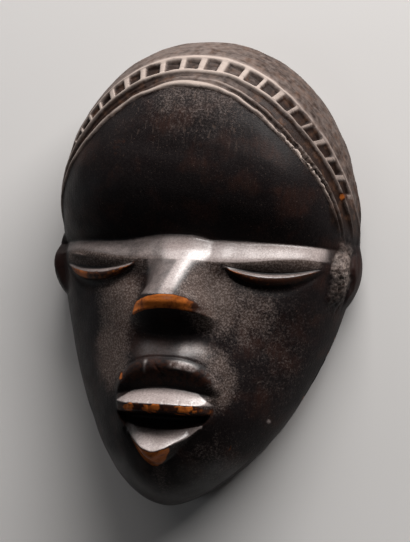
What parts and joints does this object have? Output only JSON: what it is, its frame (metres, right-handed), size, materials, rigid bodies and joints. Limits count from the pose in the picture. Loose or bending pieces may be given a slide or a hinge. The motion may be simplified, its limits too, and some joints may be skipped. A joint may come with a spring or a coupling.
{
  "type": "miniature mask",
  "caption": "Miniature carved wooden face mask in the Dan manner, lying face up on its hollow back: high forehead, slit eyes, parted lips, notched hair band, small ears.",
  "frame": {"origin": "middle of the outline on the plane of the back rim that the mask lies on", "axes": "+Z out of the face, +Y towards the crown, +X towards the viewer's right"},
  "size_m": [0.0914, 0.132, 0.0419],
  "materials": {
    "wood": "satin"
  },
  "bodies": {
    "root": {"carved_mask": "wood"}
  },
  "joints": []
}
